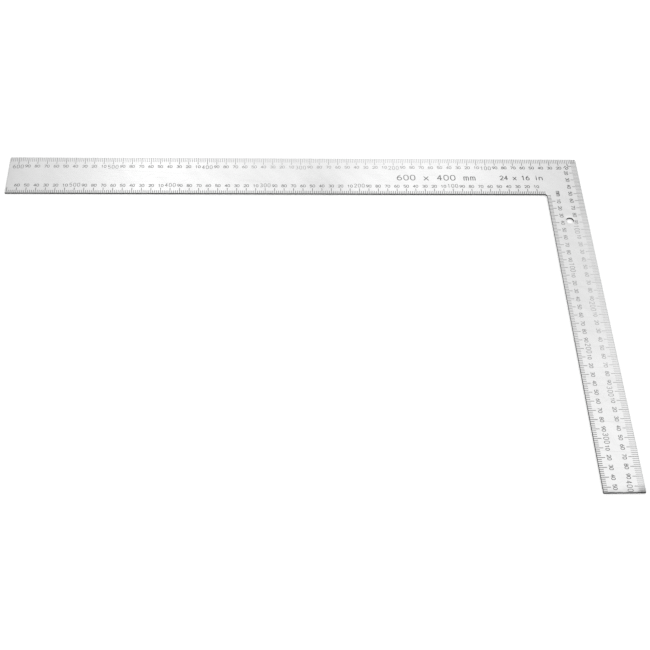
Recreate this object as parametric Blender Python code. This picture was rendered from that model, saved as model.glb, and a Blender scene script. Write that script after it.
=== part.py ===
"""A one-piece flat steel square: a wide blade and a narrower tongue that meet at a right angle.

The square lies flat. The blade runs along X at the back (+Y side) and the tongue runs along Y on the
right (+X side). The heel is the outer corner, where both outer edges start. The origin is the middle
of the square's bounding box, on the plane of its underside. All lengths are in metres.
"""
import math

import bmesh
import bpy

# Driving dimensions.
BLADE_LENGTH = 0.6096          # outer edge, from the heel to the blade's end: 24 inches
BLADE_WIDTH = 0.0508           # 2 inches
TONGUE_LENGTH = 0.4064         # outer edge, from the heel to the tongue's end: 16 inches
TONGUE_WIDTH = 0.0381          # 1 1/2 inches
THICKNESS = 0.0020
INNER_CORNER_RADIUS = 0.0025
HOLE_DIAMETER = 0.0080
HOLE_FROM_HEEL = 0.0880        # along the tongue, from the blade's outer edge to the hole's centre
EDGE_BREAK = 0.0002            # width of the flat that breaks each sharp edge

# Steps around the round stretches.
INNER_CORNER_STEPS = 16
HOLE_STEPS = 64
EDGE_BREAK_STEPS = 2

SHARP_EDGE_ANGLE = math.radians(30)

# Places that follow from the driving dimensions.
HEEL_X = BLADE_LENGTH / 2
HEEL_Y = TONGUE_LENGTH / 2
BLADE_END_X = HEEL_X - BLADE_LENGTH
TONGUE_END_Y = HEEL_Y - TONGUE_LENGTH
BLADE_INNER_Y = HEEL_Y - BLADE_WIDTH
TONGUE_INNER_X = HEEL_X - TONGUE_WIDTH
HOLE_X = HEEL_X - TONGUE_WIDTH / 2
HOLE_Y = HEEL_Y - HOLE_FROM_HEEL


def clear_scene():
    for scene_object in list(bpy.data.objects):
        bpy.data.objects.remove(scene_object)


def satin_steel():
    material = bpy.data.materials.new("satin_stainless_steel")
    material.use_nodes = True
    shader = material.node_tree.nodes["Principled BSDF"]
    shader.inputs["Base Color"].default_value = (0.74, 0.74, 0.73, 1.0)
    shader.inputs["Metallic"].default_value = 1.0
    shader.inputs["Roughness"].default_value = 0.34
    return material


def inner_corner_points():
    """The arc that rounds the inner corner, from the blade's inner edge to the tongue's."""
    centre_x = TONGUE_INNER_X - INNER_CORNER_RADIUS
    centre_y = BLADE_INNER_Y - INNER_CORNER_RADIUS
    points = []
    for step in range(INNER_CORNER_STEPS + 1):
        angle = math.pi / 2 * (1 - step / INNER_CORNER_STEPS)
        x = centre_x + INNER_CORNER_RADIUS * math.cos(angle)
        y = centre_y + INNER_CORNER_RADIUS * math.sin(angle)
        points.append((x, y))
    return points


def square_outline():
    """The outline seen from above, clockwise from the blade's end."""
    blade_end = [(BLADE_END_X, BLADE_INNER_Y), (BLADE_END_X, HEEL_Y)]
    heel = [(HEEL_X, HEEL_Y)]
    tongue_end = [(HEEL_X, TONGUE_END_Y), (TONGUE_INNER_X, TONGUE_END_Y)]
    inner_corner = inner_corner_points()[::-1]
    return blade_end + heel + tongue_end + inner_corner


def plate_mesh():
    """The flat blank: the outline raised by the thickness of the sheet."""
    mesh = bpy.data.meshes.new("square_body")
    blank = bmesh.new()
    corners = [blank.verts.new((x, y, 0.0)) for x, y in square_outline()]
    underside = blank.faces.new(corners)
    raised = bmesh.ops.extrude_face_region(blank, geom=[underside])
    raised_corners = [item for item in raised["geom"] if isinstance(item, bmesh.types.BMVert)]
    bmesh.ops.translate(blank, vec=(0.0, 0.0, THICKNESS), verts=raised_corners)
    bmesh.ops.recalc_face_normals(blank, faces=blank.faces)
    blank.to_mesh(mesh)
    blank.free()
    mesh.shade_smooth()
    return mesh


def punch_rings():
    """Radius and height of each ring of the punch, from the top down, flared at both faces."""
    radius = HOLE_DIAMETER / 2
    reach = THICKNESS
    flare = EDGE_BREAK + reach
    return [
        (radius + flare, THICKNESS + reach),
        (radius, THICKNESS - EDGE_BREAK),
        (radius, EDGE_BREAK),
        (radius + flare, -reach),
    ]


def hole_cutter():
    """The punch that leaves the hanging hole and breaks the edge of its two rims."""
    mesh = bpy.data.meshes.new("hanging_hole_cutter")
    punch = bmesh.new()
    loops = []
    for radius, height in punch_rings():
        loop = []
        for step in range(HOLE_STEPS):
            angle = 2 * math.pi * step / HOLE_STEPS
            loop.append(punch.verts.new((radius * math.cos(angle), radius * math.sin(angle), height)))
        loops.append(loop)
    for upper, lower in zip(loops, loops[1:]):
        for step in range(HOLE_STEPS):
            after = (step + 1) % HOLE_STEPS
            punch.faces.new((upper[step], lower[step], lower[after], upper[after]))
    punch.faces.new(loops[0])
    punch.faces.new(loops[-1][::-1])
    punch.to_mesh(mesh)
    punch.free()
    cutter = bpy.data.objects.new("hanging_hole_cutter", mesh)
    cutter.location = (HOLE_X, HOLE_Y, 0.0)
    cutter.hide_render = True
    cutter.display_type = "WIRE"
    bpy.context.collection.objects.link(cutter)
    return cutter


def add_edge_break(body):
    """A narrow rounded flat along every sharp edge of the blank."""
    edge_break = body.modifiers.new("edge_break", "BEVEL")
    edge_break.width = EDGE_BREAK
    edge_break.segments = EDGE_BREAK_STEPS
    edge_break.limit_method = "ANGLE"
    edge_break.angle_limit = SHARP_EDGE_ANGLE
    edge_break.harden_normals = True


def add_hole(body, cutter):
    hole = body.modifiers.new("hanging_hole", "BOOLEAN")
    hole.operation = "DIFFERENCE"
    hole.object = cutter


def square_body():
    body = bpy.data.objects.new("square_body", plate_mesh())
    body.data.materials.append(satin_steel())
    bpy.context.collection.objects.link(body)
    add_edge_break(body)
    add_hole(body, hole_cutter())
    return body


clear_scene()
square_body()
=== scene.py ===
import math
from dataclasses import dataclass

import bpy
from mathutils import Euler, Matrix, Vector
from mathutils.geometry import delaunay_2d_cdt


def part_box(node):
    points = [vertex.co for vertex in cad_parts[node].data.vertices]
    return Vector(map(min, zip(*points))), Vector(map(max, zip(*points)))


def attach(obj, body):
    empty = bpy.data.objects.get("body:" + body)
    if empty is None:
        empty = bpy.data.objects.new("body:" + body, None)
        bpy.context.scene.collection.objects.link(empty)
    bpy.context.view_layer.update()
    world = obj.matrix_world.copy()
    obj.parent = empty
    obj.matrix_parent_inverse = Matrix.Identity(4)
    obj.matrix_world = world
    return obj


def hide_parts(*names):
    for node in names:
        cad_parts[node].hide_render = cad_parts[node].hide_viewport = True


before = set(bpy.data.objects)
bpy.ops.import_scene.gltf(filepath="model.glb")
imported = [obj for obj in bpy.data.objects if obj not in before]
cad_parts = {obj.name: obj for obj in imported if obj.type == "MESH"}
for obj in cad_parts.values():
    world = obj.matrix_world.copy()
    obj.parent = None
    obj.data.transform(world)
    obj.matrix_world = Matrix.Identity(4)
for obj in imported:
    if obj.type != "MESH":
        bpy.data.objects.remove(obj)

# Looks of a flat steel square: a satin steel plate with metric scales etched along its edges and filled
# with black.
#
# The plate is rebuilt around the frame's square_body with a real groove for every mark, and the fill of
# each group of marks is a piece of its own that lies in those grooves. The heel is the outer corner. The
# blade is the long leg, along X, and the tongue is the short one, along Y. Lengths are in millimetres in
# the frame's own axes until a mesh is made. The materials and the stage are in metres.

MM = 0.001

# The plate. Its length, breadth and thickness come from the frame, and these come with them.
BLADE_WIDTH = 50.8
TONGUE_WIDTH = 38.1
INNER_CORNER_RADIUS = 2.5
OUTER_CORNER_RADIUS = 0.35
HOLE_RADIUS = 4.0
HOLE_FROM_HEEL = 88.0
EDGE_BREAK = 0.2

# Steps around the round stretches.
INNER_CORNER_STEPS = 16
OUTER_CORNER_STEPS = 4
HOLE_STEPS = 64
EDGE_BREAK_STEPS = 3

# The marks.
GROOVE_DEPTH = 0.06
FILL_BELOW_FACE = 0.02
FILL_ABOVE_GROOVE = 0.002
MARK_FROM_EDGE = 0.25
TICK_PITCH = 2
LABEL_PITCH = 10
HUNDRED = 100
UNIT_MARK_FROM_OUTER_EDGE = 24.9
UNIT_MARK_ALONG = 50.0
HEEL_LABEL_DISTANCE = 17.2
HEEL_LEADER = 10.0
HEEL_LEADER_RADIUS = 0.8
HEEL_LEADER_PEN = 0.75
LEGEND_MIDDLE_FROM_OUTER_EDGE = 27.5

# Steps along the curves of a pen stroke.
ARC_STEPS = 6
CAP_STEPS = 3

low_corner, high_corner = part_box("square_body")
TOP = high_corner.z / MM
BOTTOM = low_corner.z / MM
HEEL_X = high_corner.x / MM
HEEL_Y = high_corner.y / MM
BLADE_END_X = low_corner.x / MM
TONGUE_END_Y = low_corner.y / MM
BLADE_INNER_Y = HEEL_Y - BLADE_WIDTH
TONGUE_INNER_X = HEEL_X - TONGUE_WIDTH
HOLE_X = HEEL_X - TONGUE_WIDTH / 2
HOLE_Y = HEEL_Y - HOLE_FROM_HEEL

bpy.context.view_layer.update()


# ---------------------------------------------------------------- drawing with a round pen

def arc(centre_x, centre_y, radius_x, radius_y, start, end, steps=ARC_STEPS):
    """Points along an ellipse's arc, from one angle to another in degrees."""
    points = []
    for step in range(steps + 1):
        angle = math.radians(start + (end - start) * step / steps)
        points.append((centre_x + radius_x * math.cos(angle), centre_y + radius_y * math.sin(angle)))
    return points


def oval(centre_x, centre_y, radius_x, radius_y):
    """A closed ring as two strokes, because one stroke can't close on itself."""
    left = arc(centre_x, centre_y, radius_x, radius_y, 90, 270, 2 * ARC_STEPS)
    right = arc(centre_x, centre_y, radius_x, radius_y, -90, 90, 2 * ARC_STEPS)
    return [left, right]


@dataclass
class Lettering:
    """A size of engraved lettering. Every character has the same width and the same pitch."""
    height: float
    width: float
    pitch: float
    pen: float


TENS = Lettering(height=3.45, width=2.15, pitch=2.95, pen=0.63)
HUNDREDS = Lettering(height=4.8, width=2.4, pitch=4.1, pen=0.57)
UNIT = Lettering(height=4.57, width=3.0, pitch=3.7, pen=0.70)
HEEL_TEN = Lettering(height=3.45, width=2.0, pitch=2.95, pen=0.74)
LEGEND = Lettering(height=7.2, width=4.7, pitch=7.2, pen=1.0)
SMALL_LEGEND = Lettering(height=5.8, width=3.3, pitch=4.7, pen=0.92)

X_HEIGHT = 0.7                 # a small letter's height as a share of a capital's


def glyph_strokes(character, wide):
    """The pen strokes of one character, in a box that is 1 high and has the given width."""
    half = wide / 2
    if character == "0":
        return [
            arc(half, 1 - half, half, half, 90, 180) + arc(half, half, half, half, 180, 270),
            arc(half, half, half, half, -90, 0) + arc(half, 1 - half, half, half, 0, 90),
        ]
    if character == "1":
        return [[(0.15 * wide, 0.8), (half, 1.0)], [(half, 1.0), (half, 0.0)]]
    if character == "2":
        bow = arc(half, 1 - half, half, half, 165, -35, 2 * ARC_STEPS)
        return [bow + [(0.0, 0.0)], [(0.0, 0.0), (wide, 0.0)]]
    if character == "3":
        return [
            arc(half, 0.76, 0.88 * half, 0.24, 150, -90, 2 * ARC_STEPS),
            arc(half, 0.26, half, 0.26, 90, -150, 2 * ARC_STEPS),
        ]
    if character == "4":
        stem = 0.72 * wide
        return [[(stem, 1.0), (0.0, 0.3)], [(0.0, 0.3), (wide, 0.3)], [(stem, 1.0), (stem, 0.0)]]
    if character == "5":
        return [
            [(0.92 * wide, 1.0), (0.12 * wide, 1.0)],
            [(0.12 * wide, 1.0), (0.06 * wide, 0.52)],
            [(0.06 * wide, 0.52)] + arc(half, 0.31, half, 0.31, 115, -150, 2 * ARC_STEPS),
        ]
    if character == "6":
        return [arc(wide, 0.3, wide, 0.7, 105, 180)] + oval(half, 0.3, half, 0.3)
    if character == "7":
        return [[(0.0, 1.0), (wide, 1.0)], [(wide, 1.0), (0.3 * wide, 0.0)]]
    if character == "8":
        return oval(half, 0.76, 0.86 * half, 0.24) + oval(half, 0.26, half, 0.26)
    if character == "9":
        return oval(half, 0.7, half, 0.3) + [arc(0.0, 0.7, wide, 0.7, 0, -75)]
    if character == "x":
        return [[(0.0, X_HEIGHT), (wide, 0.0)], [(0.0, 0.0), (wide, X_HEIGHT)]]
    if character == "i":
        return [[(half, 0.0), (half, X_HEIGHT)], [(half, 0.94), (half, 1.0)]]
    if character == "n":
        return arched_strokes(1, wide)
    if character == "m":
        return arched_strokes(2, wide)
    if character == " ":
        return []
    raise ValueError(character)


def arched_strokes(arches, wide):
    """A small letter with a stem at its left, and arches side by side across its width."""
    span = wide / arches
    spring = 0.72 * X_HEIGHT
    strokes = [[(0.0, 0.0), (0.0, X_HEIGHT)]]
    for number in range(arches):
        left = span * number
        bow = arc(left + span / 2, spring, span / 2, X_HEIGHT - spring, 165, 0)
        strokes.append([(left, 0.7 * X_HEIGHT)] + bow + [(left + span, 0.0)])
    return strokes


def text_strokes(text, lettering):
    """Strokes of a line of text with its baseline on Y = 0, centred on X = 0."""
    height = lettering.height
    strokes = []
    for number, character in enumerate(text):
        middle = (number - (len(text) - 1) / 2) * lettering.pitch
        left = middle - lettering.width / 2
        for stroke in glyph_strokes(character, lettering.width / height):
            strokes.append([(left + x * height, y * height) for x, y in stroke])
    return strokes


def stroke_outline(points, width):
    """The outline of a pen stroke with round ends, counter-clockwise."""
    line = [Vector(point) for point in points]
    spans = [(after - before).normalized() for before, after in zip(line, line[1:])]
    left = []
    right = []
    for index, point in enumerate(line):
        before = spans[max(index - 1, 0)]
        after = spans[min(index, len(spans) - 1)]
        along = (before + after).normalized()
        sideways = Vector((-along.y, along.x)) * (width / 2 / along.dot(before))
        left.append(point + sideways)
        right.append(point - sideways)
    far_cap = half_circle(line[-1], spans[-1], width / 2)
    near_cap = half_circle(line[0], -spans[0], width / 2)
    return right + far_cap + left[::-1] + near_cap


def half_circle(centre, facing, radius):
    """The points between the two ends of a round cap, counter-clockwise about its centre."""
    start = math.atan2(facing.y, facing.x) - math.pi / 2
    points = []
    for step in range(1, CAP_STEPS):
        angle = start + math.pi * step / CAP_STEPS
        points.append(centre + Vector((math.cos(angle), math.sin(angle))) * radius)
    return points


# ---------------------------------------------------------------- the scales

@dataclass
class Scale:
    """One row of graduations along a straight edge of the square."""
    name: str
    zero: Vector
    along: Vector
    inward: Vector
    reading: Vector
    upright: Vector
    last_tick: int
    last_label: int
    first_label: int
    first_long_tick: int
    short_tick: float
    long_tick: float
    short_pen: float
    long_pen: float
    numeral_gap: float

    def place(self, distance, depth):
        return self.zero + self.along * distance + self.inward * depth


LEFT = Vector((-1.0, 0.0))
RIGHT = Vector((1.0, 0.0))
FORWARD = Vector((0.0, -1.0))
BACK = Vector((0.0, 1.0))
HEEL = Vector((HEEL_X, HEEL_Y))
INNER_CORNER = Vector((TONGUE_INNER_X, BLADE_INNER_Y))

OUTER = {
    "short_tick": 6.1, "long_tick": 9.4, "short_pen": 0.42, "long_pen": 0.56,
    "first_label": 20, "first_long_tick": 20}
INNER = {
    "short_tick": 3.9, "long_tick": 7.4, "short_pen": 0.68, "long_pen": 0.68,
    "first_label": 10, "first_long_tick": 10}
ON_BLADE = {"along": LEFT, "reading": RIGHT, "upright": BACK}
ON_TONGUE = {"along": FORWARD, "reading": FORWARD, "upright": RIGHT}
SCALES = [
    Scale(name="blade_outer", zero=HEEL, inward=FORWARD, last_tick=608, last_label=600,
          numeral_gap=11.0, **ON_BLADE, **OUTER),
    Scale(name="blade_inner", zero=INNER_CORNER, inward=BACK, last_tick=570, last_label=560,
          numeral_gap=9.05, **ON_BLADE, **INNER),
    Scale(name="tongue_outer", zero=HEEL, inward=LEFT, last_tick=404, last_label=400,
          numeral_gap=11.2, **ON_TONGUE, **OUTER),
    Scale(name="tongue_inner", zero=INNER_CORNER, inward=RIGHT, last_tick=354, last_label=350,
          numeral_gap=9.4, **ON_TONGUE, **INNER),
]
LEGENDS = [                    # text, lettering, and its middle's distance from the heel
    ("600 x 400 mm", LEGEND, 155.0),
    ("24 x 16 in", SMALL_LEGEND, 63.0),
]


def tick_outlines(scale):
    outlines = []
    for value in range(TICK_PITCH, scale.last_tick + 1, TICK_PITCH):
        is_long = value % LABEL_PITCH == 0 and value >= scale.first_long_tick
        reach = scale.long_tick if is_long else scale.short_tick
        half = (scale.long_pen if is_long else scale.short_pen) / 2
        corners = [
            scale.place(value - half, MARK_FROM_EDGE), scale.place(value + half, MARK_FROM_EDGE),
            scale.place(value + half, reach), scale.place(value - half, reach)]
        outlines.append(counter_clockwise(corners))
    return outlines


def counter_clockwise(corners):
    area = sum(a.x * b.y - b.x * a.y for a, b in zip(corners, corners[1:] + corners[:1]))
    return corners if area > 0 else corners[::-1]


def placed_text(text, lettering, middle_of_baseline, reading, upright):
    """Outlines of a line of text that reads along one direction and stands up along another."""
    outlines = []
    for stroke in text_strokes(text, lettering):
        points = [middle_of_baseline + reading * x + upright * y for x, y in stroke]
        outlines.append(stroke_outline(points, lettering.pen))
    return outlines


def numeral_outlines(scale):
    """Tens are marked with two digits and hundreds with all three, larger."""
    outlines = []
    stands_inward = scale.upright.dot(scale.inward) > 0
    for value in range(scale.first_label, scale.last_label + 1, LABEL_PITCH):
        is_hundred = value % HUNDRED == 0
        text = str(value) if is_hundred else str(value % HUNDRED)
        lettering = HUNDREDS if is_hundred else TENS
        baseline = scale.numeral_gap if stands_inward else scale.numeral_gap + lettering.height
        middle = scale.place(value, baseline)
        outlines += placed_text(text, lettering, middle, scale.reading, scale.upright)
    return outlines


def heel_mark_outlines():
    """The 10 that both outer scales share, and the rounded leader that joins their ticks."""
    toward_heel = (RIGHT + BACK).normalized()
    reading = (RIGHT + FORWARD).normalized()
    baseline = HEEL - toward_heel * (HEEL_LABEL_DISTANCE + HEEL_TEN.height / 2)
    radius = HEEL_LEADER_RADIUS
    corner = HEEL + (LEFT + FORWARD) * HEEL_LEADER
    bend = arc(corner.x + radius, corner.y + radius, radius, radius, 180, 270)
    leader = [HEEL + LEFT * HEEL_LEADER + FORWARD * OUTER["short_tick"]]
    leader += [Vector(point) for point in bend]
    leader += [HEEL + FORWARD * HEEL_LEADER + LEFT * OUTER["short_tick"]]
    outlines = placed_text("10", HEEL_TEN, baseline, reading, toward_heel)
    outlines.append(stroke_outline(leader, HEEL_LEADER_PEN))
    return outlines


def unit_mark_outlines():
    inward = UNIT_MARK_FROM_OUTER_EDGE + UNIT.height * X_HEIGHT
    baseline = HEEL + LEFT * inward + FORWARD * UNIT_MARK_ALONG
    return placed_text("mm", UNIT, baseline, FORWARD, RIGHT)


def legend_outlines():
    """The lengths that the outer scales measure, and the size of the blank in inches."""
    outlines = []
    for text, lettering, from_heel in LEGENDS:
        inward = LEGEND_MIDDLE_FROM_OUTER_EDGE + lettering.height / 2
        baseline = HEEL + LEFT * from_heel + FORWARD * inward
        outlines += placed_text(text, lettering, baseline, RIGHT, BACK)
    return outlines


def all_marks():
    marks = {}
    for scale in SCALES:
        marks[scale.name + "_graduations"] = tick_outlines(scale)
        marks[scale.name + "_numerals"] = numeral_outlines(scale)
    marks["heel_mark"] = heel_mark_outlines()
    marks["unit_mark"] = unit_mark_outlines()
    marks["size_legend"] = legend_outlines()
    return marks


# ---------------------------------------------------------------- the plate's outline

def outline_points(inset):
    """The plate's outline, counter-clockwise seen from above, moved into the material by inset."""
    round_corner = OUTER_CORNER_RADIUS - inset
    inner_radius = INNER_CORNER_RADIUS + inset
    inner_arc = arc(
        TONGUE_INNER_X - INNER_CORNER_RADIUS, BLADE_INNER_Y - INNER_CORNER_RADIUS,
        inner_radius, inner_radius, 90, 0, INNER_CORNER_STEPS)

    def corner(x, y, toward_x, toward_y, start):
        centre_x = x + toward_x * OUTER_CORNER_RADIUS
        centre_y = y + toward_y * OUTER_CORNER_RADIUS
        return arc(centre_x, centre_y, round_corner, round_corner, start, start + 90, OUTER_CORNER_STEPS)

    return (
        corner(BLADE_END_X, BLADE_INNER_Y, 1, 1, 180)
        + inner_arc
        + corner(TONGUE_INNER_X, TONGUE_END_Y, 1, 1, 180)
        + corner(HEEL_X, TONGUE_END_Y, -1, 1, 270)
        + corner(HEEL_X, HEEL_Y, -1, -1, 0)
        + corner(BLADE_END_X, HEEL_Y, 1, -1, 90))


def hole_points(inset):
    radius = HOLE_RADIUS + inset
    return arc(HOLE_X, HOLE_Y, radius, radius, 0, 360, HOLE_STEPS)[:-1]


def edge_levels():
    """Inset and height of each loop around the plate's edge, from the top face to the underside."""
    upper = []
    for step in range(EDGE_BREAK_STEPS + 1):
        angle = math.pi / 2 * step / EDGE_BREAK_STEPS
        upper.append((EDGE_BREAK * (1 - math.sin(angle)), EDGE_BREAK * (1 - math.cos(angle))))
    return [(inset, TOP - drop) for inset, drop in upper] + [
        (inset, BOTTOM + drop) for inset, drop in reversed(upper)]


# ---------------------------------------------------------------- meshes

STEEL_FACE = 0
CUT_EDGE = 1
SHARP_EDGE_ANGLE = math.radians(35)


class MeshBuilder:
    """Gathers points in millimetres and faces, and makes an object in metres."""

    def __init__(self):
        self.points = []
        self.faces = []
        self.materials = []

    def point(self, x, y, z):
        self.points.append((x * MM, y * MM, z * MM))
        return len(self.points) - 1

    def face(self, corners, material=STEEL_FACE):
        self.faces.append(corners)
        self.materials.append(material)

    def make(self, name, materials):
        mesh = bpy.data.meshes.new(name)
        mesh.from_pydata(self.points, [], self.faces)
        mesh.polygons.foreach_set("material_index", self.materials)
        for material in materials:
            mesh.materials.append(material)
        mesh.shade_smooth()
        mesh.set_sharp_from_angle(angle=SHARP_EDGE_ANGLE)
        made = bpy.data.objects.new(name, mesh)
        bpy.context.scene.collection.objects.link(made)
        return made


class PointsAtHeight(dict):
    """The builder's numbers for points of the plane at one height, each made when first asked for."""

    def __init__(self, builder, points, height):
        super().__init__()
        self.builder = builder
        self.points = points
        self.height = height

    def __missing__(self, number):
        self[number] = self.builder.point(*self.points[number], self.height)
        return self[number]


PLATE = "plate"
HOLE = "hole"
JOIN_DISTANCE = 1e-5


def triangulate(named_outlines):
    """Cuts the plane into triangles along every outline.

    Returns the points, the triangles, the set of outline names that each triangle lies in, and for each
    outline the numbers of its points.
    """
    coordinates = []
    loops = []
    names = []
    for name, outlines in named_outlines.items():
        for outline in outlines:
            first = len(coordinates)
            coordinates += [Vector(point) for point in outline]
            loops.append(list(range(first, len(coordinates))))
            names.append(name)
    points, _, triangles, sources, _, origins = delaunay_2d_cdt(coordinates, [], loops, 1, JOIN_DISTANCE)
    found = {}
    for number, merged in enumerate(sources):
        for source in merged:
            found[source] = number
    inside = [{names[loop] for loop in loops_here} for loops_here in origins]
    loop_numbers = {}
    for name, loop in zip(names, loops):
        loop_numbers.setdefault(name, []).append([found[source] for source in loop])
    return points, triangles, inside, loop_numbers


def rim_edges(triangles):
    """The directed edges that only one of the triangles has, with the triangles on their left."""
    directed = {(a, b) for t in triangles for a, b in zip(t, t[1:] + t[:1])}
    return [(a, b) for a, b in directed if (b, a) not in directed]


def add_edge_band(builder, level_loops, outward):
    """Joins the loops of each level around the plate or the hole with a band of quads."""
    for upper, lower in zip(level_loops, level_loops[1:]):
        for number in range(len(upper)):
            after = (number + 1) % len(upper)
            quad = [lower[number], lower[after], upper[after], upper[number]]
            builder.face(quad if outward else quad[::-1], CUT_EDGE)


def add_marked_face(builder, points, triangles, inside):
    """The top face with a groove under every mark. Returns the builder's numbers of its points."""
    on_face = PointsAtHeight(builder, points, TOP)
    on_floor = PointsAtHeight(builder, points, TOP - GROOVE_DEPTH)
    grooves = []
    for triangle, names in zip(triangles, inside):
        if PLATE not in names or HOLE in names:
            continue
        is_marked = len(names) > 1
        if is_marked:
            grooves.append(list(triangle))
        level = on_floor if is_marked else on_face
        builder.face([level[number] for number in triangle])
    for a, b in sorted(rim_edges(grooves)):
        builder.face([on_floor[b], on_floor[a], on_face[a], on_face[b]])
    return on_face


def add_underside(builder, rims):
    """The plain lower face. Returns the builder's numbers of its points, and its loops."""
    points, triangles, inside, loops = triangulate(rims)
    under = [builder.point(*point, BOTTOM) for point in points]
    for triangle, names in zip(triangles, inside):
        if names == {PLATE}:
            builder.face([under[number] for number in reversed(triangle)])
    return under, loops


def make_plate(marks, materials):
    """The steel plate with a groove for every mark, and what its top face was cut into."""
    builder = MeshBuilder()
    rims = {PLATE: [outline_points(EDGE_BREAK)], HOLE: [hole_points(EDGE_BREAK)]}
    points, triangles, inside, loops = triangulate({**rims, **marks})
    on_face = add_marked_face(builder, points, triangles, inside)
    under, under_loops = add_underside(builder, rims)
    for name, points_at, outward in ((PLATE, outline_points, True), (HOLE, hole_points, False)):
        level_loops = [[on_face[number] for number in loops[name][0]]]
        for inset, height in edge_levels()[1:-1]:
            level_loops.append([builder.point(x, y, height) for x, y in points_at(inset)])
        level_loops.append([under[number] for number in under_loops[name][0]])
        add_edge_band(builder, level_loops, outward)
    return builder.make("steel_plate", materials), points, triangles, inside


def make_fills(marks, points, triangles, inside, material):
    """The black fill of each group of marks, a thin closed solid in its grooves."""
    top = TOP - FILL_BELOW_FACE
    bottom = TOP - GROOVE_DEPTH + FILL_ABOVE_GROOVE
    order = {name: number for number, name in enumerate(marks)}
    groups = {name: [] for name in marks}
    for triangle, names in zip(triangles, inside):
        owners = sorted((name for name in names if name in order), key=order.get)
        if owners and PLATE in names and HOLE not in names:
            groups[owners[0]].append(list(triangle))
    fills = []
    for name, group in groups.items():
        builder = MeshBuilder()
        upper = PointsAtHeight(builder, points, top)
        lower = PointsAtHeight(builder, points, bottom)
        for triangle in group:
            builder.face([upper[number] for number in triangle])
            builder.face([lower[number] for number in reversed(triangle)])
        for a, b in sorted(rim_edges(group)):
            builder.face([lower[a], lower[b], upper[b], upper[a]])
        fills.append(builder.make(name + "_fill", [material]))
    return fills


# ---------------------------------------------------------------- materials, in metres

@dataclass
class Noise:
    """A noise pattern, stretched by different amounts along the axes."""
    stretch: tuple
    scale: float
    detail: float


@dataclass
class Scratches:
    """Sparse fine lines at an angle to X, in degrees. A higher threshold leaves fewer of them."""
    stretch: tuple
    turn: float
    threshold: float


@dataclass
class Fade:
    """An effect that is full at one distance, and on past it, and gone at another."""
    full: float
    gone: float
    amount: float


@dataclass
class LegWear:
    """Painted highlight on the fill along a leg, by the distance from the heel, and across it, by the
    outer edge.
    """
    none_before: float
    full_from: float
    full_to: float
    none_after: float
    across_full: float
    across_gone: float
    inner_share: float
    amount: float


EVEN = (1.0, 1.0, 1.0)

# The steel face.
GRAIN = Noise((60.0, 4000.0, 60.0), 1.0, 3.0)
CLOUDS = Noise(EVEN, 9.0, 2.0)
MOTTLING = Noise((30.0, 110.0, 30.0), 1.0, 3.0)
MOTTLING_TURN = 45.0
# Noise that breaks the painted shade on the face into patches.
SHADE_BREAKUP = Noise(EVEN, 220.0, 4.0)
FACE_TONE = (0.64, 0.67)
MOTTLING_TONE = (0.0, 0.035)
SHADE_BREAKUP_SHARE = (0.5, 1.0)
FACE_ROUGHNESS = (0.20, 0.28)
LENGTHWISE_SCRATCHES = Scratches((9.0, 1500.0, 9.0), 4.0, 0.66)
SLANTING_SCRATCHES = Scratches((30.0, 1800.0, 30.0), -31.0, 0.70)
SCRATCH_SOFTNESS = 0.04
SCRATCH_DARKNESS = 0.05
SCRATCH_ROUGHNESS = 0.08
GRAIN_STRENGTH = 0.15
GRAIN_HEIGHT = 0.00002

# Where painted shade darkens the steel face: along its edges, at both ends and at the tongue's outer
# corner. One spot on the blade is darker too.
SHADED_RIM = Fade(0.0002, 0.0016, 0.10)
SHADED_BLADE_END = Fade(0.0, 0.022, 0.10)
SHADED_TONGUE_END = Fade(0.0, 0.007, 0.22)
SHADED_TONGUE_RIM = Fade(0.0004, 0.0014, 0.40)
SHADED_TONGUE_CORNER = Fade(0.001, 0.010, 0.6)
DARKER_SPOT = Fade(0.004, 0.036, 0.12)
DARKER_SPOT_PLACE = (0.027, 0.162)

# The cut edge, painted near-black as shade, by the distance from the tongue's end and by the height. It is
# lighter along the bottom, with a painted highlight along its rounded upper corner.
STREAKS = Noise((900.0, 900.0, 90.0), 1.0, 3.0)
# Painted shade: a near-black tone for the steel of the sides.
SHADED_EDGE_TONE = (0.02, 0.07)
EDGE_ROUGHNESS = (0.42, 0.6)
# More painted shade on the edges at the tongue's end and down the tongue.
SHADED_EDGE_AT_TONGUE_END = Fade(0.0005, 0.004, 0.7)
SHADED_EDGE_DOWN_TONGUE = Fade(0.110, 0.200, 0.5)
BAND_UNEVENNESS = 0.0001
LIGHTER_LOWER_BAND = Fade(0.00012, 0.00035, 0.35)
# Painted highlight: the edge's rounded upper corner is lighter.
HIGHLIGHTED_EDGE_CORNER = Fade(TOP * MM, (TOP - EDGE_BREAK) * MM, 0.25)

# The fill.
FILL_PATCHES = Noise(EVEN, 900.0, 3.0)
BLACK_FILL_TONE = (0.02, 0.06)
FILL_ROUGHNESS = (0.4, 0.6)
# Painted highlight: the black fill is lightened towards grey along the middle of the scales, in patches.
HIGHLIGHT_PATCH_SHARE = (0.7, 1.0)
FILL_HIGHLIGHT_TONE = 0.40
TONGUE_FILL_HIGHLIGHT = LegWear(
    none_before=0.045, full_from=0.125, full_to=0.220, none_after=0.400,
    across_full=0.018, across_gone=0.021, inner_share=0.55, amount=0.93)
BLADE_FILL_HIGHLIGHT = LegWear(
    none_before=0.060, full_from=0.210, full_to=0.330, none_after=0.420,
    across_full=0.018, across_gone=0.030, inner_share=0.2, amount=0.8)
BLADE_TIP_FILL_HIGHLIGHT = LegWear(
    none_before=0.430, full_from=0.480, full_to=0.570, none_after=0.620,
    across_full=0.018, across_gone=0.030, inner_share=0.35, amount=0.30)
FILL_HIGHLIGHT_AWAY_FROM_HEEL = Fade(0.130, 0.045, 0.19)

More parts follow.
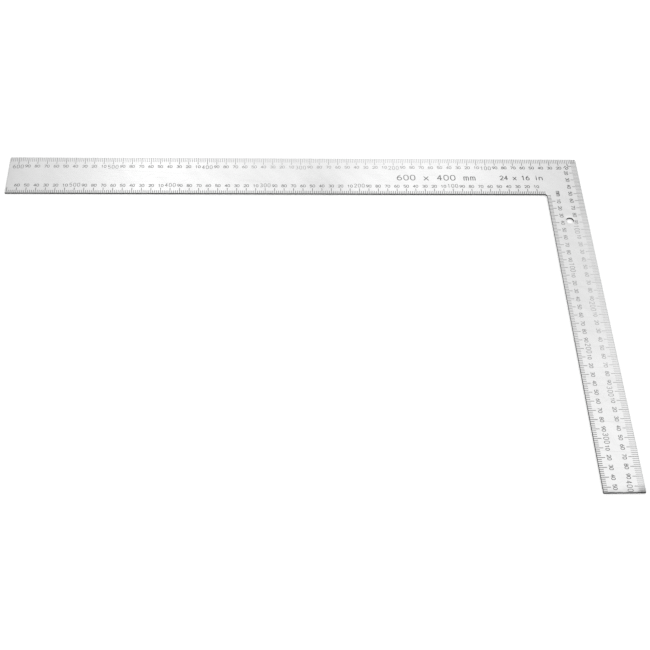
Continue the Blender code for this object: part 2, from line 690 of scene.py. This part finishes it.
# The floor.
FLOOR_CLOUDS = Noise(EVEN, 3.0, 2.0)
FLOOR_TONE = (0.90, 0.92)
FLOOR_GLOW = 0.25
FLOOR_ROUGHNESS = 0.9


def new_material(name):
    material = bpy.data.materials.new(name)
    material.use_nodes = True
    return material, material.node_tree, material.node_tree.nodes["Principled BSDF"]


def add_object_coordinates(tree):
    return tree.nodes.new("ShaderNodeTexCoord").outputs["Object"]


def add_turn(tree, coordinates, degrees):
    """The coordinates turned about Z."""
    mapping = tree.nodes.new("ShaderNodeMapping")
    mapping.inputs["Rotation"].default_value = (0.0, 0.0, math.radians(degrees))
    tree.links.new(coordinates, mapping.inputs["Vector"])
    return mapping.outputs["Vector"]


def add_noise(tree, coordinates, pattern):
    mapping = tree.nodes.new("ShaderNodeMapping")
    mapping.inputs["Scale"].default_value = pattern.stretch
    noise = tree.nodes.new("ShaderNodeTexNoise")
    noise.inputs["Scale"].default_value = pattern.scale
    noise.inputs["Detail"].default_value = pattern.detail
    tree.links.new(coordinates, mapping.inputs["Vector"])
    tree.links.new(mapping.outputs["Vector"], noise.inputs["Vector"])
    return noise.outputs["Fac"]


def add_range(tree, value, to_low, to_high, from_low=0.3, from_high=0.7):
    """Maps a range onto another and stops at its ends. Noise mostly lies between the default ones."""
    mapped = tree.nodes.new("ShaderNodeMapRange")
    mapped.inputs["From Min"].default_value = from_low
    mapped.inputs["From Max"].default_value = from_high
    mapped.inputs["To Min"].default_value = to_low
    mapped.inputs["To Max"].default_value = to_high
    tree.links.new(value, mapped.inputs["Value"])
    return mapped.outputs["Result"]


def add_math(tree, operation, first, second):
    """A math node. Each input is a number or another node's output."""
    node = tree.nodes.new("ShaderNodeMath")
    node.operation = operation
    for socket, value in zip(node.inputs, (first, second)):
        if isinstance(value, (int, float)):
            socket.default_value = value
        else:
            tree.links.new(value, socket)
    return node.outputs["Value"]


def add_sum(tree, values):
    total = values[0]
    for value in values[1:]:
        total = add_math(tree, "ADD", total, value)
    return total


def add_fade(tree, value, full, gone):
    """A smooth step from 1 at the full value to 0 at the gone value."""
    mapped = tree.nodes.new("ShaderNodeMapRange")
    mapped.interpolation_type = "SMOOTHSTEP"
    mapped.inputs["From Min"].default_value = full
    mapped.inputs["From Max"].default_value = gone
    mapped.inputs["To Min"].default_value = 1.0
    mapped.inputs["To Max"].default_value = 0.0
    tree.links.new(value, mapped.inputs["Value"])
    return mapped.outputs["Result"]


def add_effect(tree, distance, fade):
    return add_math(tree, "MULTIPLY", add_fade(tree, distance, fade.full, fade.gone), fade.amount)


class PlatePlace:
    """Where a point of the plate is, as shader values."""

    def __init__(self, tree, coordinates):
        self.tree = tree
        split = tree.nodes.new("ShaderNodeSeparateXYZ")
        tree.links.new(coordinates, split.inputs["Vector"])
        self.x = split.outputs["X"]
        self.y = split.outputs["Y"]
        self.z = split.outputs["Z"]

    def from_heel_along_blade(self):
        return add_math(self.tree, "SUBTRACT", HEEL_X * MM, self.x)

    def from_heel_along_tongue(self):
        return add_math(self.tree, "SUBTRACT", HEEL_Y * MM, self.y)

    def from_blade_end(self):
        return add_math(self.tree, "SUBTRACT", self.x, BLADE_END_X * MM)

    def from_tongue_end(self):
        return add_math(self.tree, "SUBTRACT", self.y, TONGUE_END_Y * MM)

    def from_nearest_edge(self):
        """The distance inward from the outline, measured along X or Y."""
        from_blade_inner = add_math(self.tree, "SUBTRACT", self.y, BLADE_INNER_Y * MM)
        from_tongue_inner = add_math(self.tree, "SUBTRACT", self.x, TONGUE_INNER_X * MM)
        nearest = add_math(self.tree, "MAXIMUM", from_blade_inner, from_tongue_inner)
        for distance in (self.from_heel_along_blade(), self.from_heel_along_tongue(),
                         self.from_blade_end(), self.from_tongue_end()):
            nearest = add_math(self.tree, "MINIMUM", nearest, distance)
        return nearest

    def from_spot(self, x, y):
        """The distance from a place on the plate."""
        across = add_math(self.tree, "POWER", add_math(self.tree, "SUBTRACT", self.x, x), 2.0)
        along = add_math(self.tree, "POWER", add_math(self.tree, "SUBTRACT", self.y, y), 2.0)
        return add_math(self.tree, "SQRT", add_math(self.tree, "ADD", across, along), 0.0)


def add_steel_dulling(tree, coordinates):
    """How much the face is darkened: painted shade along its edges, at its ends and at the tongue's
    corner, and one darker spot on the blade.
    """
    place = PlatePlace(tree, coordinates)
    total = add_sum(tree, [
        add_effect(tree, place.from_nearest_edge(), SHADED_RIM),
        add_effect(tree, place.from_blade_end(), SHADED_BLADE_END),
        add_effect(tree, place.from_tongue_end(), SHADED_TONGUE_END),
        add_effect(tree, place.from_tongue_end(), SHADED_TONGUE_RIM),
        add_effect(tree, place.from_spot(HEEL_X * MM, TONGUE_END_Y * MM), SHADED_TONGUE_CORNER),
        add_effect(tree, place.from_spot(*DARKER_SPOT_PLACE), DARKER_SPOT),
    ])
    # Noise breaks the painted shade into patches.
    shade_breakup = add_range(tree, add_noise(tree, coordinates, SHADE_BREAKUP), *SHADE_BREAKUP_SHARE)
    return add_math(tree, "MULTIPLY", total, shade_breakup)


def add_scratches(tree, coordinates, scratches):
    """1 in a scratch and 0 between them."""
    turned = add_turn(tree, coordinates, scratches.turn)
    lines = add_noise(tree, turned, Noise(scratches.stretch, 1.0, 1.0))
    return add_range(tree, lines, 0.0, 1.0, scratches.threshold, scratches.threshold + SCRATCH_SOFTNESS)


def satin_steel():
    """Rolled steel, ground along the blade, with soft clouds, hairline scratches, and painted shade along
    its edges and at its ends.
    """
    material, tree, shader = new_material("satin_steel")
    coordinates = add_object_coordinates(tree)
    grain = add_noise(tree, coordinates, GRAIN)
    clouds = add_noise(tree, coordinates, CLOUDS)
    mottling = add_noise(tree, add_turn(tree, coordinates, MOTTLING_TURN), MOTTLING)
    scratches = add_math(
        tree, "ADD", add_scratches(tree, coordinates, LENGTHWISE_SCRATCHES),
        add_scratches(tree, coordinates, SLANTING_SCRATCHES))

    tone = add_math(
        tree, "ADD", add_range(tree, clouds, *FACE_TONE), add_range(tree, mottling, *MOTTLING_TONE))
    tone = add_math(tree, "SUBTRACT", tone, add_math(tree, "MULTIPLY", scratches, SCRATCH_DARKNESS))
    # Painted shade: the tone is darkened along the edges, at the ends and at the tongue's corner.
    tone = add_math(
        tree, "MULTIPLY", tone, add_math(tree, "SUBTRACT", 1.0, add_steel_dulling(tree, coordinates)))
    tree.links.new(tone, shader.inputs["Base Color"])

    roughness = add_math(
        tree, "ADD", add_range(tree, grain, *FACE_ROUGHNESS),
        add_math(tree, "MULTIPLY", scratches, SCRATCH_ROUGHNESS))
    tree.links.new(roughness, shader.inputs["Roughness"])
    bump = tree.nodes.new("ShaderNodeBump")
    bump.inputs["Strength"].default_value = GRAIN_STRENGTH
    bump.inputs["Distance"].default_value = GRAIN_HEIGHT
    tree.links.new(grain, bump.inputs["Height"])
    tree.links.new(bump.outputs["Normal"], shader.inputs["Normal"])
    shader.inputs["Metallic"].default_value = 1.0
    return material


def cut_edge_steel():
    """Sheared sides: painted dark as shade, darker still down the tongue, lighter along the bottom, with a
    painted highlight along the rounded upper corner.
    """
    material, tree, shader = new_material("cut_edge_steel")
    coordinates = add_object_coordinates(tree)
    streaks = add_noise(tree, coordinates, STREAKS)
    place = PlatePlace(tree, coordinates)
    height = add_math(tree, "ADD", place.z, add_range(tree, streaks, -BAND_UNEVENNESS, BAND_UNEVENNESS))
    # Painted shade: a near-black tone stands in for the shade on the sides, lighter along the bottom.
    tone = add_sum(tree, [
        add_range(tree, streaks, *SHADED_EDGE_TONE),
        add_effect(tree, height, LIGHTER_LOWER_BAND),
        # Painted highlight along the rounded upper corner.
        add_effect(tree, height, HIGHLIGHTED_EDGE_CORNER),
    ])
    # More painted shade on the edges down the tongue and at its end.
    edge_shade = add_math(
        tree, "MAXIMUM", add_effect(tree, place.from_tongue_end(), SHADED_EDGE_AT_TONGUE_END),
        add_effect(tree, place.from_tongue_end(), SHADED_EDGE_DOWN_TONGUE))
    tone = add_math(tree, "MULTIPLY", tone, add_math(tree, "SUBTRACT", 1.0, edge_shade))
    tree.links.new(tone, shader.inputs["Base Color"])
    tree.links.new(add_range(tree, streaks, *EDGE_ROUGHNESS), shader.inputs["Roughness"])
    shader.inputs["Metallic"].default_value = 1.0
    return material


def add_leg_wear(tree, from_heel, from_outer_edge, highlight):
    along = add_math(
        tree, "MULTIPLY", add_fade(tree, from_heel, highlight.full_from, highlight.none_before),
        add_fade(tree, from_heel, highlight.full_to, highlight.none_after))
    outer = add_math(
        tree, "MULTIPLY", add_fade(tree, from_outer_edge, highlight.across_full, highlight.across_gone),
        1.0 - highlight.inner_share)
    both = add_math(tree, "MULTIPLY", along, add_math(tree, "ADD", outer, highlight.inner_share))
    return add_math(tree, "MULTIPLY", both, highlight.amount)


def add_handling_wear(tree, coordinates):
    """How much painted highlight lightens the black: least at the heel, and most along the middle of the
    outer scales.
    """
    place = PlatePlace(tree, coordinates)
    down_tongue = place.from_heel_along_tongue()
    along_blade = place.from_heel_along_blade()
    return add_sum(tree, [
        add_leg_wear(tree, down_tongue, along_blade, TONGUE_FILL_HIGHLIGHT),
        add_leg_wear(tree, along_blade, down_tongue, BLADE_FILL_HIGHLIGHT),
        add_leg_wear(tree, along_blade, down_tongue, BLADE_TIP_FILL_HIGHLIGHT),
        add_effect(tree, place.from_spot(HEEL_X * MM, HEEL_Y * MM), FILL_HIGHLIGHT_AWAY_FROM_HEEL),
    ])


def mark_fill():
    """Black stove enamel, lightened by a painted highlight along the middle of the scales."""
    material, tree, shader = new_material("mark_fill")
    coordinates = add_object_coordinates(tree)
    patches = add_noise(tree, coordinates, FILL_PATCHES)
    patchy = add_range(tree, patches, *HIGHLIGHT_PATCH_SHARE)
    highlight = add_math(tree, "MULTIPLY", add_handling_wear(tree, coordinates), patchy)
    black_tone = add_range(tree, patches, *BLACK_FILL_TONE)
    # Painted highlight: the black is lightened towards grey where the steel's reflection is brightest.
    tone = add_math(tree, "ADD", black_tone, add_math(tree, "MULTIPLY", highlight, FILL_HIGHLIGHT_TONE))
    tree.links.new(tone, shader.inputs["Base Color"])
    tree.links.new(add_range(tree, patches, *FILL_ROUGHNESS), shader.inputs["Roughness"])
    return material


def floor_paint():
    """Matte white paint that glows a little, so that the floor stays as pale as the studio's walls."""
    material, tree, shader = new_material("floor")
    clouds = add_noise(tree, add_object_coordinates(tree), FLOOR_CLOUDS)
    grey = add_range(tree, clouds, *FLOOR_TONE)
    tree.links.new(grey, shader.inputs["Base Color"])
    tree.links.new(grey, shader.inputs["Emission Color"])
    shader.inputs["Emission Strength"].default_value = FLOOR_GLOW
    shader.inputs["Roughness"].default_value = FLOOR_ROUGHNESS
    shader.inputs["Specular IOR Level"].default_value = 0.0
    return material


# ---------------------------------------------------------------- stage, in metres

CAMERA_PLACE = (-0.0268, -0.6747, 0.9084)
CAMERA_TURN_DEGREES = (35.9153, -2.0612, -1.6612)
CAMERA_LENS = 63.994
SENSOR_WIDTH = 36.0
CLIP_START = 0.01
FLOOR_RADIUS = 8.0
FLOOR_STEPS = 96
WORLD_GREY = 1.0


def add_camera():
    data = bpy.data.cameras.new("camera")
    data.sensor_width = SENSOR_WIDTH
    data.lens = CAMERA_LENS
    data.clip_start = CLIP_START
    camera = bpy.data.objects.new("camera", data)
    camera.location = CAMERA_PLACE
    camera.rotation_euler = Euler([math.radians(turn) for turn in CAMERA_TURN_DEGREES])
    bpy.context.scene.collection.objects.link(camera)
    bpy.context.scene.camera = camera


def add_floor():
    builder = MeshBuilder()
    rim = arc(0.0, 0.0, FLOOR_RADIUS / MM, FLOOR_RADIUS / MM, 0, 360, FLOOR_STEPS)[:-1]
    builder.face([builder.point(x, y, BOTTOM) for x, y in rim])
    floor = builder.make("floor", [floor_paint()])


@dataclass
class Softbox:
    """A large soft panel that faces its target. Its brightness is given, not its power."""
    name: str
    place: tuple
    target: tuple
    width: float
    depth: float
    radiance: float


SOFTBOXES = [
    Softbox("left_panel", (-0.29, 2.2, 2.2), (-0.13, 0.18, 0.0), width=0.67, depth=1.6, radiance=0.39),
    Softbox("left_strip", (-0.46, 2.2, 2.2), (-0.15, 0.18, 0.0), width=0.16, depth=1.6, radiance=0.8),
    Softbox("right_panel", (0.50, 2.2, 2.2), (0.14, 0.18, 0.0), width=0.55, depth=1.6, radiance=0.6),
    Softbox("heel_panel", (1.2, 2.05, 2.2), (0.285, 0.12, 0.0), width=0.5, depth=0.7, radiance=0.08),
    Softbox("overhead_panel", (1.33, 1.4, 3.0), (0.29, -0.15, 0.0), width=1.1, depth=1.0, radiance=0.45),
]


def add_softbox(softbox):
    data = bpy.data.lights.new(softbox.name, "AREA")
    data.shape = "RECTANGLE"
    data.size = softbox.width
    data.size_y = softbox.depth
    data.energy = softbox.radiance * math.pi * softbox.width * softbox.depth
    light = bpy.data.objects.new(softbox.name, data)
    light.location = softbox.place
    aim = Vector(softbox.target) - Vector(softbox.place)
    light.rotation_euler = aim.to_track_quat("-Z", "Y").to_euler()
    light.visible_camera = False
    bpy.context.scene.collection.objects.link(light)


def add_lights():
    for softbox in SOFTBOXES:
        add_softbox(softbox)
    world = bpy.data.worlds.new("studio")
    world.use_nodes = True
    background = world.node_tree.nodes["Background"]
    background.inputs["Color"].default_value = (WORLD_GREY, WORLD_GREY, WORLD_GREY, 1.0)
    background.inputs["Strength"].default_value = 1.0
    bpy.context.scene.world = world
    bpy.context.scene.view_settings.view_transform = "Standard"


# ---------------------------------------------------------------- build

marks = all_marks()
plate, points, triangles, inside = make_plate(marks, [satin_steel(), cut_edge_steel()])
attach(plate, "root")
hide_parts("square_body")
for fill in make_fills(marks, points, triangles, inside, mark_fill()):
    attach(fill, "root")
add_camera()
add_floor()
add_lights()
